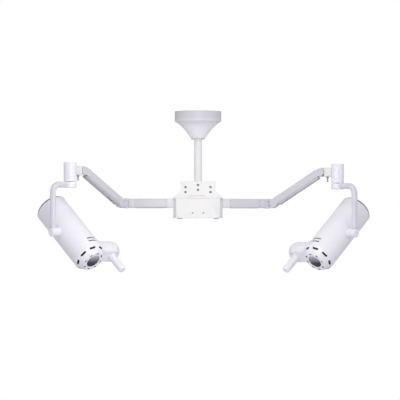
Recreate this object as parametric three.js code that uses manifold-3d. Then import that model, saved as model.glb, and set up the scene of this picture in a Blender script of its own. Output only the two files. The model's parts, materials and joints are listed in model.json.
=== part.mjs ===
// Ceiling-mounted surgical light: a drop pole with a hub, two jointed arms and two cylindrical lamps.
// Millimetres, +Z up. The origin is the centre of the face that bolts to the ceiling, +X runs to the
// right-hand arm and -Y towards a person standing in front. Each part is modelled at rest.

import * as THREE from 'three';
import { mergeVertices } from 'three/addons/utils/BufferGeometryUtils.js';
import Module from 'manifold-3d';

const wasm = await Module();
wasm.setup();

// ---------------------------------------- driving dimensions

const GAP = 0.3; // between parts that touch
const PLAY = 0.6; // radial room of a pin in its bore

const POLE = { r: 25.4, bore: 20, flangeR: 75, flangeTop: -12.3, flangeBottom: -24.3, bottom: -499 };
const CEILING = { r: 140, thick: 12, holeR: 6.5, holeCircle: 110, holes: 6, cableR: 14, cableY: 55 };
const CANOPY = { wall: 2.5, top: -0.5, bottom: -175, poleHole: 26.4, collarR: 43, collarBottom: -183 };

const HUB = { top: -456, shoulder: -520, lip: -562, split: -568, bottom: -694 };
const HUB_HALF = { depth: 50, top: 112.5, wide: 163 };
const HUB_CORE = { halfFace: 143, sheet: 6.5, halfWeb: 68, floor: 7.7, endR: 40 };
const HUB_PIN = { headR: 16, headHigh: 5.7, top: -553, holeTop: -552 };
const HUB_SCREW = { r: 7.5, deep: 7, sideX: 81, sideZ: [-494, -526], middleZ: [-480, -512] };
const HUB_PIVOT_X = 118;

const ARM = { z: -598, halfHigh: 30, halfWide: 23, wall: 4, round: 9 };
const BARREL = { r: 42, bottom: -87.4, neckStart: 36, neckHalf: 13, neckEnd: 76, plateEnd: 84 };
const PIN_R = 12;
const SMALL_PIN_R = 9;
const EXTENSION_LENGTH = 348; // hub pivot to elbow pivot
const ELBOW = { barrelR: 22, barrelHalf: 15, earR: 24, tongueHalf: 11, housingStart: -52, toPitch: 50 };
const ELBOW_HOLLOW = { r: 25.5, start: -15, cheek: 18 }; // room for the ears and for the tongue's swing
const SPRING = { length: 380, earR: 26, earReach: 38, start: 30, split: -14, sheet: 3 };
const CARTRIDGE = { r: 15, inset: 42 };
const LEVEL = { toSwivel: 114, blockStart: 27 };
const BRAKE = { x: 46, r: 5, headR: 8.5, headHigh: 9, length: 34, tip: -10 };

const SWIVEL = { r: 41, top: 53, bottom: -71, shaftR: 14, shaftTop: -32, seam: 25 };
const COLLAR = { r: 41, top: -74, bottom: -111 };
const YOKE = { r: 19, out: 150, bend: 50, exitZ: -92, drop: 394, footR: 30, footIn: 131, footOut: 169 };

const LAMP = { r: 104, wall: 3.5, back: -241, capSeam: -226, noseSeam: 232, slotPlane: 252, front: 284 };
const NOSE = { slotR: 93, faceR: 70, lensR: 52, lensSeat: 280 };
const NOSE_SLOT = { count: 8, deep: 14, halfLong: 21, halfWide: 5.5, lean: 50 };
const NOSE_HOLE = { place: 61.5, halfWide: 4, halfLong: 7 };
const REFLECTOR = { back: 150, rim: 268, throatR: 14, flare: 44, wall: 2 };
const TILT_HUB = { r: 28, stubR: 20, start: 86, lip: 26 };
const LOUVRE = { places: [172, 197], wide: 8, halfAngle: 21.5 };
const HANDLE = { out: 202, tip: 215, place: 187, r: 65, wall: 5, front: 236, bossR: 20, boreDeep: 30 };
const GRIP = { r: 25, start: 242, end: 368, spigot: 210 };

// Where each arm stands: headings are degrees about +Z from +X, pitch is degrees above level.
const SIDES = [
  { side: 'left', hand: 1, hubX: -HUB_PIVOT_X, extension: 180, spring: 223.5, pitch: 32.4, yoke: 226 },
  { side: 'right', hand: -1, hubX: HUB_PIVOT_X, extension: 17.5, spring: -21, pitch: 31.9, yoke: -46 },
];
const LAMP_TILT = 48.6; // degrees away from straight down
const LAMP_FACETS = 24; // round the lamp's own axis

// ---------------------------------------- materials

const rad = THREE.MathUtils.degToRad;
const finish = (color, roughness, metalness) => (
  new THREE.MeshStandardMaterial({ color, roughness, metalness })
);

const FINISHES = {
  white: () => finish(0xeeeeee, 0.4, 0),
  grey: () => finish(0xd2d3d6, 0.45, 0),
  cover: () => finish(0xdadadb, 0.45, 0),
  trim: () => finish(0xa9abb2, 0.5, 0),
  steel: () => finish(0xb9bbbe, 0.3, 1),
  dark: () => finish(0x2a2b2e, 0.6, 0),
  mirror: () => finish(0xd8dadd, 0.1, 1),
  glass: () => finish(0x50545c, 0.1, 0),
};

// ---------------------------------------- geometry helpers

function signedVolume(geometry) {
  const p = geometry.attributes.position;
  const index = geometry.index;
  const [a, b, c] = [new THREE.Vector3(), new THREE.Vector3(), new THREE.Vector3()];
  let volume = 0;
  for (let i = 0; i < index.count; i += 3) {
    a.fromBufferAttribute(p, index.getX(i));
    b.fromBufferAttribute(p, index.getX(i + 1));
    c.fromBufferAttribute(p, index.getX(i + 2));
    volume += a.dot(b.cross(c)) / 6;
  }
  return volume;
}

// One closed mesh with shared vertices, its faces pointing out.
function closed(geometry) {
  const bare = geometry.clone();
  bare.deleteAttribute('normal');
  bare.deleteAttribute('uv');
  const merged = mergeVertices(bare, 1e-4);
  if (signedVolume(merged) < 0) {
    const flipped = Array.from(merged.index.array);
    for (let i = 0; i < flipped.length; i += 3) {
      [flipped[i], flipped[i + 1]] = [flipped[i + 1], flipped[i]];
    }
    merged.setIndex(flipped);
  }
  return merged;
}

function toSolid(geometry) {
  const g = closed(geometry);
  const vertProperties = Float32Array.from(g.attributes.position.array);
  const triVerts = Uint32Array.from(g.index.array);
  return new wasm.Manifold(new wasm.Mesh({ numProp: 3, vertProperties, triVerts }));
}

function fromSolid(solid) {
  const mesh = solid.getMesh();
  const g = new THREE.BufferGeometry();
  g.setAttribute('position', new THREE.BufferAttribute(Float32Array.from(mesh.vertProperties), 3));
  g.setIndex(Array.from(mesh.triVerts));
  return g;
}

const joined = (geometries) => fromSolid(geometries.map(toSolid).reduce((all, one) => all.add(one)));
const cut = (geometry, tools) => fromSolid(
  tools.map(toSolid).reduce((all, one) => all.subtract(one), toSolid(geometry)),
);

// A solid or ring turned about Z from [radius, height] points.
function turned(points, segments = 16) {
  const profile = points.map(([r, z]) => new THREE.Vector2(r, z));
  return closed(new THREE.LatheGeometry(profile, segments).rotateX(Math.PI / 2));
}

// A ring about Z: its section is closed back onto its first point.
const ring = (points, segments) => turned([...points, points[0]], segments);

const rodZ = (r, from, to, segments = 12) => turned([[0, from], [r, from], [r, to], [0, to]], segments);
const rodX = (r, from, to, segments) => rodZ(r, from, to, segments).rotateY(Math.PI / 2);
const rodY = (r, from, to, segments) => rodZ(r, from, to, segments).rotateX(-Math.PI / 2);

function box(x0, x1, y0, y1, z0, z1) {
  const g = new THREE.BoxGeometry(x1 - x0, y1 - y0, z1 - z0);
  return closed(g.translate((x0 + x1) / 2, (y0 + y1) / 2, (z0 + z1) / 2));
}

function roundedRectangle(halfWide, halfHigh, r, shape = new THREE.Shape()) {
  shape.absarc(halfWide - r, halfHigh - r, r, 0, Math.PI / 2);
  shape.absarc(-halfWide + r, halfHigh - r, r, Math.PI / 2, Math.PI);
  shape.absarc(-halfWide + r, -halfHigh + r, r, Math.PI, Math.PI * 1.5);
  shape.absarc(halfWide - r, -halfHigh + r, r, Math.PI * 1.5, Math.PI * 2);
  shape.closePath();
  return shape;
}

function polygon(points) {
  return new THREE.Shape(points.map(([x, y]) => new THREE.Vector2(x, y)));
}

// A shape in (Y, Z) run along X.
function runX(shape, from, to, curveSegments = 2) {
  const g = new THREE.ExtrudeGeometry(shape, { depth: to - from, bevelEnabled: false, curveSegments });
  return closed(g.rotateX(Math.PI / 2).rotateZ(Math.PI / 2).translate(from, 0, 0));
}

// A shape in (X, Z) run along Y, with its front and back edges eased.
function runY(shape, halfDeep, ease = 0) {
  const bevel = { bevelEnabled: ease > 0, bevelThickness: ease, bevelSize: ease, bevelOffset: -ease };
  const depth = 2 * (halfDeep - ease);
  const g = new THREE.ExtrudeGeometry(shape, { depth, bevelSegments: 2, curveSegments: 4, ...bevel });
  return closed(g.translate(0, 0, -depth / 2).rotateX(Math.PI / 2));
}

// A shape in (X, Y) run along Z.
function runZ(shape, from, to, curveSegments = 4) {
  const g = new THREE.ExtrudeGeometry(shape, { depth: to - from, bevelEnabled: false, curveSegments });
  return closed(g.translate(0, 0, from));
}

function part(parent, name, finishName, geometry) {
  const mesh = new THREE.Mesh(geometry, FINISHES[finishName]());
  mesh.name = name;
  parent.add(mesh);
}

function groupAt(parent, position, rotation) {
  const group = new THREE.Group();
  group.position.set(...position);
  group.rotation.set(...rotation.map(rad));
  parent.add(group);
  return group;
}

// ---------------------------------------- ceiling plate, canopy and pole

function ceilingPlate() {
  const holes = [rodZ(CEILING.cableR, -CEILING.thick - 1, 1).translate(0, CEILING.cableY, 0)];
  for (let i = 0; i < CEILING.holes; i += 1) {
    const angle = (i + 0.5) * ((2 * Math.PI) / CEILING.holes);
    const [x, y] = [CEILING.holeCircle * Math.cos(angle), CEILING.holeCircle * Math.sin(angle)];
    holes.push(rodZ(CEILING.holeR, -CEILING.thick - 1, 1, 8).translate(x, y, 0));
  }
  return cut(rodZ(CEILING.r, -CEILING.thick, 0, 24), holes);
}

function dropPole() {
  return ring([
    [POLE.bore, POLE.bottom], [POLE.r, POLE.bottom], [POLE.r, POLE.flangeBottom],
    [POLE.flangeR, POLE.flangeBottom], [POLE.flangeR, POLE.flangeTop], [POLE.bore, POLE.flangeTop],
  ]);
}

// A straight band at the ceiling, then a bell that narrows to the pole.
function canopyShell() {
  const outer = [
    [151.5, CANOPY.top], [151.5, -66], [140, -76], [118, -89], [94, -108], [79, -128], [63, -148],
    [51, -160], [47, CANOPY.bottom],
  ];
  const inner = outer.slice(0, -1).map(([r, z]) => [r - CANOPY.wall, z]).reverse();
  const rim = [[CANOPY.poleHole, CANOPY.bottom], [CANOPY.poleHole, CANOPY.bottom + CANOPY.wall]];
  return ring([...outer, ...rim, [44, CANOPY.bottom + CANOPY.wall], ...inner], 20);
}

function canopyCollar() {
  const [top, bottom] = [CANOPY.bottom - GAP, CANOPY.collarBottom];
  return ring([
    [CANOPY.poleHole, top], [CANOPY.poleHole, bottom], [CANOPY.collarR - 3, bottom],
    [CANOPY.collarR, bottom + 3], [CANOPY.collarR, top],
  ]);
}

// ---------------------------------------- hub

function hubBracket() {
  const { depth, top, wide } = HUB_HALF;
  const outline = polygon([
    [-wide, HUB.split + GAP], [wide, HUB.split + GAP], [wide, HUB.lip], [top, HUB.shoulder],
    [top, HUB.top], [-top, HUB.top], [-top, HUB.shoulder], [-wide, HUB.lip],
  ]);
  const recess = (x, z) => rodY(HUB_SCREW.r, -depth - 1, -depth + HUB_SCREW.deep, 10).translate(x, 0, z);
  const recesses = [
    ...HUB_SCREW.sideZ.flatMap((z) => [recess(-HUB_SCREW.sideX, z), recess(HUB_SCREW.sideX, z)]),
    ...HUB_SCREW.middleZ.map((z) => recess(0, z)),
  ];
  const pinHole = (x) => rodZ(PIN_R + PLAY, HUB.split - 1, HUB_PIN.holeTop).translate(x, 0, 0);
  const poleHole = rodZ(POLE.r + PLAY, POLE.bottom - GAP, HUB.top + 1, 16);
  const holes = [poleHole, pinHole(-HUB_PIVOT_X), pinHole(HUB_PIVOT_X), ...recesses];
  return cut(runY(outline, depth, 2), holes);
}

// Front and back sheets, a middle web and a floor: the two arm barrels turn between them.
function hubCore() {
  const { halfFace, sheet, halfWeb, floor, endR } = HUB_CORE;
  const { depth, wide } = HUB_HALF;
  const inner = depth - sheet;
  const floorTop = HUB.bottom + floor;
  const body = joined([
    runZ(roundedRectangle(wide, depth, endR), HUB.bottom, floorTop),
    box(-halfFace, halfFace, -depth, -inner, HUB.bottom + 1, HUB.split),
    box(-halfFace, halfFace, inner, depth, HUB.bottom + 1, HUB.split),
    box(-halfWeb, halfWeb, -inner - 1, inner + 1, HUB.bottom + 1, HUB.split),
  ]);
  const pinHole = (x) => rodZ(PIN_R + PLAY, HUB.bottom - 1, floorTop + 1).translate(x, 0, 0);
  return cut(body, [pinHole(-HUB_PIVOT_X), pinHole(HUB_PIVOT_X)]);
}

function hubPin(x) {
  const { headR, headHigh, top } = HUB_PIN;
  const under = HUB.bottom - GAP;
  return turned([
    [0, under - headHigh], [headR, under - headHigh], [headR, under], [PIN_R, under],
    [PIN_R, top], [0, top],
  ], 12).translate(x, 0, 0);
}

// ---------------------------------------- extension arm (along +X from the hub pivot)

function extensionBarrel() {
  const high = ARM.halfHigh - GAP;
  const body = joined([
    rodZ(BARREL.r, BARREL.bottom, high, 24),
    box(BARREL.neckStart, BARREL.neckEnd + 1, -BARREL.neckHalf, BARREL.neckHalf, -high, high),
    runX(roundedRectangle(ARM.halfWide, ARM.halfHigh, ARM.round), BARREL.neckEnd, BARREL.plateEnd),
  ]);
  return cut(body, [rodZ(PIN_R + PLAY, BARREL.bottom - 1, high + 1)]);
}

function extensionTube() {
  const section = roundedRectangle(ARM.halfWide, ARM.halfHigh, ARM.round);
  const [w, h, r] = [ARM.halfWide - ARM.wall, ARM.halfHigh - ARM.wall, ARM.round - ARM.wall];
  section.holes.push(roundedRectangle(w, h, r, new THREE.Path()));
  return runX(section, BARREL.plateEnd + GAP, EXTENSION_LENGTH + ELBOW.housingStart - GAP);
}

// The end of the extension arm: a block hollowed round the elbow pivot, with a short barrel between its jaws.
function elbowHousing() {
  const { barrelR, barrelHalf, housingStart } = ELBOW;
  const { r, start, cheek } = ELBOW_HOLLOW;
  const block = runX(roundedRectangle(ARM.halfWide, ARM.halfHigh, ARM.round), housingStart, 0);
  const high = ARM.halfHigh + 1;
  const hollow = cut(block, [
    rodZ(r, barrelHalf, high, 16),
    rodZ(r, -high, -barrelHalf, 16),
    box(start, 1, -ARM.halfWide - 1, -cheek, -high, high),
    box(start, 1, cheek, ARM.halfWide + 1, -high, high),
  ]);
  const barrel = rodZ(barrelR, -barrelHalf, barrelHalf, 16);
  const housing = cut(joined([hollow, barrel]), [rodZ(SMALL_PIN_R + PLAY, -high, high)]);
  return housing.translate(EXTENSION_LENGTH, 0, 0);
}

function elbowPin() {
  const end = ARM.halfHigh - 1;
  return rodZ(SMALL_PIN_R, -end, end).translate(EXTENSION_LENGTH, 0, 0);
}

// ---------------------------------------- elbow block (from the elbow pivot)

function elbowBlock() {
  const { tongueHalf, earR, barrelHalf, barrelR, toPitch } = ELBOW;
  const high = ARM.halfHigh;
  const earLow = barrelHalf + 0.5;
  const body = joined([
    rodZ(earR, earLow, high, 16),
    rodZ(earR, -high, -earLow, 16),
    box(0, toPitch, -tongueHalf, tongueHalf, earLow, high),
    box(0, toPitch, -tongueHalf, tongueHalf, -high, -earLow),
    box(barrelR + 1, toPitch, -tongueHalf, tongueHalf, -high, high),
    rodY(high - 2, -tongueHalf, tongueHalf, 16).translate(toPitch, 0, 0),
  ]);
  const holes = [
    rodZ(SMALL_PIN_R + PLAY, -high - 1, high + 1),
    rodY(SMALL_PIN_R + PLAY, -tongueHalf - 1, tongueHalf + 1).translate(toPitch, 0, 0),
  ];
  return cut(body, holes);
}

const crossPin = () => rodY(SMALL_PIN_R, -ARM.halfWide + 1, ARM.halfWide - 1);

// ---------------------------------------- spring arm (along +X from the pitch pivot)

function springEnds() {
  const { length, earR, earReach, split } = SPRING;
  const inner = ELBOW.tongueHalf + 0.5;
  return [0, length].flatMap((x) => [-1, 1].map((side) => {
    const [near, far] = side < 0 ? [-ARM.halfWide, -inner] : [inner, ARM.halfWide];
    const [from, to] = x === 0 ? [0, earReach] : [length - earReach, length];
    const ear = rodY(earR, near, far, 16).translate(x, 0, 0);
    return joined([ear, box(from, to, near, far, split + GAP, earR)]);
  }));
}

// Upper cover: an upside-down channel with an ear at each corner.
function springCover() {
  const [w, h, t, low] = [ARM.halfWide, ARM.halfHigh, SPRING.sheet, SPRING.split + GAP];
  const shape = polygon([
    [-w, low], [-w + t, low], [-w + t, h - t], [w - t, h - t], [w - t, low], [w, low],
    [w, h - 8], [w - 2, h - 3], [w - 8, h], [-w + 8, h], [-w + 2, h - 3], [-w, h - 8],
  ]);
  const shell = runX(shape, SPRING.start, SPRING.length - SPRING.start);
  const holes = [0, SPRING.length].map((x) => rodY(SMALL_PIN_R + PLAY, -w - 1, w + 1).translate(x, 0, 0));
  return cut(joined([shell, ...springEnds()]), holes);
}

// Lower channel: the closing strip under the arm.
function springChannel() {
  const [w, h, t, high] = [ARM.halfWide, ARM.halfHigh, SPRING.sheet, SPRING.split];
  const shape = polygon([
    [-w, high], [-w, -h + 6], [-w + 6, -h], [w - 6, -h], [w, -h + 6], [w, high],
    [w - t, high], [w - t, -h + t + 3], [w - 6, -h + t], [-w + 6, -h + t], [-w + t, -h + t + 3],
    [-w + t, high],
  ]);
  return runX(shape, SPRING.start, SPRING.length - SPRING.start);
}

function springCartridge() {
  return rodX(CARTRIDGE.r, CARTRIDGE.inset, SPRING.length - CARTRIDGE.inset);
}

// ---------------------------------------- level block and swivel (from the end pivot)

function endKnuckle() {
  const tongue = ELBOW.tongueHalf;
  const body = joined([
    rodY(ARM.halfHigh - 2, -tongue, tongue, 16),
    box(0, LEVEL.blockStart + 5, -tongue, tongue, -ARM.halfHigh + 1, ARM.halfHigh - 1),
    runX(roundedRectangle(ARM.halfWide, ARM.halfHigh - 1, ARM.round), LEVEL.blockStart + 4, LEVEL.toSwivel),
  ]);
  return cut(body, [
    rodY(SMALL_PIN_R + PLAY, -tongue - 1, tongue + 1),
    rodZ(SWIVEL.r + 1, -80, 80, 20).translate(LEVEL.toSwivel, 0, 0),
    rodZ(BRAKE.r + PLAY, -ARM.halfHigh, -8, 16).translate(BRAKE.x, 0, 0),
  ]);
}

function brakeScrew() {
  const { x, r, headR, headHigh, length, tip } = BRAKE;
  const under = -ARM.halfHigh + 1 - GAP;
  const end = -ARM.halfHigh - length;
  return turned([
    [0, end], [r - 1, end], [r, end + 2], [r, under - headHigh], [headR, under - headHigh],
    [headR, under], [r, under], [r, tip], [0, tip],
  ], 12).translate(x, 0, 0);
}

function swivelHousing() {
  const { r, top, bottom, shaftR, shaftTop, seam } = SWIVEL;
  const groove = [[r, -1.5], [r - 1.5, -1.5], [r - 1.5, 1.5], [r, 1.5]].map(([x, z]) => [x, bottom + seam + z]);
  return turned([
    [0, shaftTop + 2], [shaftR + PLAY, shaftTop + 2], [shaftR + PLAY, bottom], [r, bottom], ...groove,
    [r, top - 4], [r - 4, top], [0, top],
  ], 20).translate(LEVEL.toSwivel, 0, 0);
}

// ---------------------------------------- yoke (about the swivel axis, its leg at +X)

function yokeCollar() {
  const { r, top, bottom } = COLLAR;
  const { shaftR, shaftTop } = SWIVEL;
  return turned([
    [0, bottom], [r - 4, bottom], [r, bottom + 4], [r, top], [shaftR, top], [shaftR, shaftTop], [0, shaftTop],
  ], 20);
}

// A quarter turn from level, heading out, to straight down.
class Bend extends THREE.Curve {
  constructor(x, z, r) {
    super();
    Object.assign(this, { x, z, r });
  }

  getPoint(t, target = new THREE.Vector3()) {
    const angle = (t * Math.PI) / 2;
    return target.set(this.x + this.r * Math.sin(angle), 0, this.z + this.r * Math.cos(angle));
  }
}

function yokeTube() {
  const { r, out, bend, exitZ, drop, footR } = YOKE;
  const [bendX, bendZ] = [out - bend, exitZ - bend];
  const section = new THREE.Shape().absarc(0, 0, r, 0, Math.PI * 2);
  const options = { extrudePath: new Bend(bendX, bendZ, bend), steps: 6, curveSegments: 8 };
  const tube = joined([
    new THREE.ExtrudeGeometry(section, options),
    rodX(r, COLLAR.r - 2, bendX + 0.01, 16).translate(0, 0, exitZ),
    rodZ(r, -drop + footR - 4, bendZ + 0.01, 16).translate(out, 0, 0),
  ]);
  return cut(tube, [
    rodZ(COLLAR.r + 1, exitZ - 2 * r, exitZ + 2 * r, 20),
    rodX(footR + GAP, out - 2 * r, out + 2 * r, 24).translate(0, 0, -drop),
  ]);
}

// The round housing at the foot of the leg, about the tilt axis (+X).
function yokeFoot() {
  const { footR, footIn, footOut } = YOKE;
  const boreEnd = footOut - 12;
  return turned([
    [0, boreEnd], [PIN_R + PLAY, boreEnd], [PIN_R + PLAY, footIn], [footR, footIn], [footR, footOut - 12],
    [footR - 4, footOut - 4], [footR - 12, footOut], [0, footOut],
  ], 20).rotateY(Math.PI / 2);
}

// ---------------------------------------- lamp (axis along Z, its front at -Z, leg at +X)

// Heights along the lamp are given forward of the tilt axis, so they are turned over here.
const forward = (points) => points.map(([r, u]) => [r, -u]);

function lampBody(hand) {
  const { r, wall, capSeam, noseSeam } = LAMP;
  const shell = ring(forward([
    [r, capSeam + GAP], [r, noseSeam], [r - wall, noseSeam], [r - wall, capSeam + GAP],
  ]), LAMP_FACETS);
  const louvres = LOUVRE.places.map((place) => {
    const half = rad(LOUVRE.halfAngle);
    const shape = new THREE.Shape();
    shape.absarc(0, 0, r + 5, -half, half);
    shape.absarc(0, 0, r - wall - 5, half, -half, true);
    shape.closePath();
    const slot = runZ(shape, -place - LOUVRE.wide / 2, -place + LOUVRE.wide / 2, 6);
    return slot.rotateZ(hand * (Math.PI / 2));
  });
  return cut(shell, [...louvres, rodX(TILT_HUB.stubR + PLAY, 0, r + 1)]);
}

function lampRearCap() {
  const { r, wall, back, capSeam } = LAMP;
  return turned(forward([
    [0, back], [r - 12, back], [r - 4, back + 3], [r, back + 10], [r, capSeam], [r - 2 * wall, capSeam],
    [r - 2 * wall, back + 6], [0, back + 6],
  ]), LAMP_FACETS);
}

function noseSlot() {
  const { deep, halfLong, halfWide, lean } = NOSE_SLOT;
  const slot = box(-deep, deep, -halfLong, halfLong, -halfWide, halfWide);
  return slot.rotateY(rad(lean)).translate(NOSE.slotR, 0, -LAMP.slotPlane);
}

function noseHole() {
  const { place, halfWide, halfLong } = NOSE_HOLE;
  return box(place - halfWide, place + halfWide, -halfLong, halfLong, -LAMP.front - 1, -LAMP.front + 16);
}

function lampNose() {
  const { r, wall, noseSeam, slotPlane, front } = LAMP;
  const { slotR, faceR, lensR, lensSeat } = NOSE;
  const start = noseSeam + GAP;
  const shell = ring(forward([
    [r, start], [r, 236], [r - 4, 243], [slotR, slotPlane], [82, 270], [faceR + 1, 282], [faceR - 2, front],
    [lensR, front], [lensR, lensSeat], [lensR + 5, lensSeat], [lensR + 5, front - 10],
    [faceR - 4, front - 7], [slotR - 5, slotPlane - 3], [r - wall - 4, 240], [r - 2 * wall, start],
  ]), LAMP_FACETS);
  const tools = [];
  for (let i = 0; i < NOSE_SLOT.count; i += 1) {
    const turn = (i * 2 * Math.PI) / NOSE_SLOT.count;
    tools.push(noseSlot().rotateZ(turn + Math.PI / NOSE_SLOT.count));
    tools.push(noseHole().rotateZ(turn));
  }
  return cut(shell, tools);
}

function lens() {
  const { lensR, lensSeat } = NOSE;
  const seat = lensSeat - GAP;
  return turned(forward([
    [0, seat + 3], [30, seat + 2], [lensR - 3, seat], [lensR + 4, seat], [lensR + 4, seat - 4],
    [0, seat - 4],
  ]), 24);
}

function reflector() {
  const { back, rim, throatR, flare, wall } = REFLECTOR;
  const bowl = (t) => [throatR + flare * Math.sqrt(t), back + (rim - back) * t];
  const inside = [0, 0.1, 0.4, 1].map(bowl);
  const outside = inside.map(([r, u]) => [r + wall, u]).reverse();
  return ring(forward([...inside, ...outside]), 20);
}

// Flanged stub that carries the lamp in the foot of the yoke.
function tiltHub() {
  const { r, stubR, start, lip } = TILT_HUB;
  const inner = YOKE.footIn - 1;
  const end = YOKE.footOut - 13;
  const outside = turned([
    [0, start + 4], [r, start + 4], [r, inner - 2], [lip, inner], [PIN_R, inner], [PIN_R, end], [0, end],
  ], 24).rotateY(Math.PI / 2);
  const flange = cut(outside, [rodZ(LAMP.r + GAP, -60, 60, LAMP_FACETS)]);
  return joined([flange, rodX(stubR, start, LAMP.r + 11)]);
}

// ---------------------------------------- handle (beside the nose, on the side away from the leg)

// A round arm of radius r that starts inside the lamp and ends in half a ball just past the grip's axis.
function handleArm(r) {
  const { tip, place } = HANDLE;
  const ball = [0, 1, 2, 3, 4, 5].map((k) => {
    const angle = (k * Math.PI) / 12;
    return [r * Math.cos(angle), tip + r * Math.sin(angle)];
  });
  return turned([[0, 80], [r, 80], ...ball, [0, tip + r]], 28).rotateY(-Math.PI / 2).translate(0, 0, -place);
}

// The arm is a shell, open toward the lamp, with a flat face and a boss for the grip's spigot.
function handleHousing() {
  const { out, tip, r, wall, front, bossR, boreDeep } = HANDLE;
  const past = (face) => box(-tip - r, 0, -r, r, -2 * front, -face);
  const room = cut(handleArm(r - wall), [past(front - wall)]);
  const shell = cut(handleArm(r), [rodZ(LAMP.r + GAP, -2 * front, 0, LAMP_FACETS), past(front), room]);
  const boss = rodZ(bossR, -front + 1, -front + boreDeep + wall).translate(-out, 0, 0);
  const bore = rodZ(PIN_R + PLAY, -front - 1, -front + boreDeep).translate(-out, 0, 0);
  return cut(joined([shell, boss]), [bore]);
}

function handleSocket() {
  const top = HANDLE.front + GAP;
  const end = GRIP.start - 0.5;
  const bore = PIN_R + PLAY;
  return ring(forward([
    [bore, top], [GRIP.r + 5, top], [GRIP.r + 4, end - 1.5], [GRIP.r + 3, end], [bore, end],
  ])).translate(-HANDLE.out, 0, 0);
}

function handleGrip() {
  const { r, start, end, spigot } = GRIP;
  return turned(forward([
    [0, spigot], [PIN_R, spigot], [PIN_R, start], [r, start], [r, end - 12], [r - 3, end - 4],
    [r - 10, end], [0, end],
  ]), 20).translate(-HANDLE.out, 0, 0);
}

// ---------------------------------------- assembly

function addMount(model) {
  part(model, 'ceiling_plate', 'steel', ceilingPlate());
  part(model, 'drop_pole', 'grey', dropPole());
  part(model, 'canopy_shell', 'cover', canopyShell());
  part(model, 'canopy_collar', 'grey', canopyCollar());
  part(model, 'hub_bracket', 'cover', hubBracket());
  part(model, 'hub_core', 'cover', hubCore());
}

function addLamp(lamp, side, hand) {
  part(lamp, `${side}_tilt_hub`, 'white', tiltHub());
  part(lamp, `${side}_lamp_body`, 'white', lampBody(hand));
  part(lamp, `${side}_lamp_rear_cap`, 'trim', lampRearCap());
  part(lamp, `${side}_lamp_nose`, 'white', lampNose());
  part(lamp, `${side}_lens`, 'glass', lens());
  part(lamp, `${side}_reflector`, 'mirror', reflector());
  part(lamp, `${side}_handle_housing`, 'white', handleHousing());
  part(lamp, `${side}_handle_socket`, 'white', handleSocket());
  part(lamp, `${side}_handle_grip`, 'white', handleGrip());
}

function addArm(model, { side, hand, hubX, extension, spring, pitch, yoke }) {
  part(model, `${side}_hub_pin`, 'steel', hubPin(hubX));

  const arm = groupAt(model, [hubX, 0, ARM.z], [0, 0, extension]);
  part(arm, `${side}_extension_barrel`, 'grey', extensionBarrel());
  part(arm, `${side}_extension_tube`, 'grey', extensionTube());
  part(arm, `${side}_elbow_housing`, 'grey', elbowHousing());
  part(arm, `${side}_elbow_pin`, 'steel', elbowPin());

  const elbow = groupAt(arm, [EXTENSION_LENGTH, 0, 0], [0, 0, spring - extension]);
  part(elbow, `${side}_elbow_block`, 'grey', elbowBlock());

  const springArm = groupAt(elbow, [ELBOW.toPitch, 0, 0], [0, -pitch, 0]);
  part(springArm, `${side}_pitch_pin`, 'steel', crossPin());
  part(springArm, `${side}_spring_cover`, 'grey', springCover());
  part(springArm, `${side}_spring_channel`, 'trim', springChannel());
  part(springArm, `${side}_spring_cartridge`, 'dark', springCartridge());
  part(springArm, `${side}_end_pin`, 'steel', crossPin().translate(SPRING.length, 0, 0));

  const level = groupAt(springArm, [SPRING.length, 0, 0], [0, pitch, 0]);
  part(level, `${side}_end_knuckle`, 'grey', endKnuckle());
  part(level, `${side}_swivel_housing`, 'white', swivelHousing());
  part(level, `${side}_brake_screw`, 'trim', brakeScrew());

  const swivel = groupAt(level, [LEVEL.toSwivel, 0, 0], [0, 0, yoke - spring]);
  part(swivel, `${side}_yoke_collar`, 'white', yokeCollar());
  part(swivel, `${side}_yoke_tube`, 'white', yokeTube());
  part(swivel, `${side}_yoke_foot`, 'white', yokeFoot().translate(0, 0, -YOKE.drop));

  const lamp = groupAt(swivel, [0, 0, -YOKE.drop], [hand * LAMP_TILT, 0, 0]);
  addLamp(lamp, side, hand);
}

const model = new THREE.Group();
addMount(model);
SIDES.forEach((side) => addArm(model, side));

export default model;
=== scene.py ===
"""The looks of a ceiling-hung surgical light: its enamel shells, screws, lenses and handles, and a studio.

Every piece is built in millimetres in the local axes of the joint that it belongs to. Those axes come from
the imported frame, so each piece lands where its CAD part is. Lights, camera and aims are in metres.
"""
import json
import math
from types import SimpleNamespace as Sizes

import bpy
import bmesh
from mathutils import Matrix, Vector


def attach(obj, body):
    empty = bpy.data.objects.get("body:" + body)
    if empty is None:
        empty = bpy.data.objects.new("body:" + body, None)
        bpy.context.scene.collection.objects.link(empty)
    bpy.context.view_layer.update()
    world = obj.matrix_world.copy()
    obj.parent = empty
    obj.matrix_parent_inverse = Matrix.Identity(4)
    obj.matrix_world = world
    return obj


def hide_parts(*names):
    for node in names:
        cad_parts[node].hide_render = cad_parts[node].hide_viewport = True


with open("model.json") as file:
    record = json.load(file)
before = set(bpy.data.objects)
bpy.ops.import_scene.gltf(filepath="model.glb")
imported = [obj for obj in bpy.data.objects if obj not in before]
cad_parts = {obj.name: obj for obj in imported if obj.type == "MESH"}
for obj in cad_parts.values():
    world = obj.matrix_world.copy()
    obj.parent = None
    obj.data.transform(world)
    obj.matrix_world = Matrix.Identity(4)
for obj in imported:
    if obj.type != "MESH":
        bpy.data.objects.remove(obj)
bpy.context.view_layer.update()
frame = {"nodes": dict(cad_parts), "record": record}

MM = 0.001
HANDS = {"left": 1, "right": -1}
JOINTS = {joint["name"]: joint for joint in frame["record"]["behaviour"]["joints"]}

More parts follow.
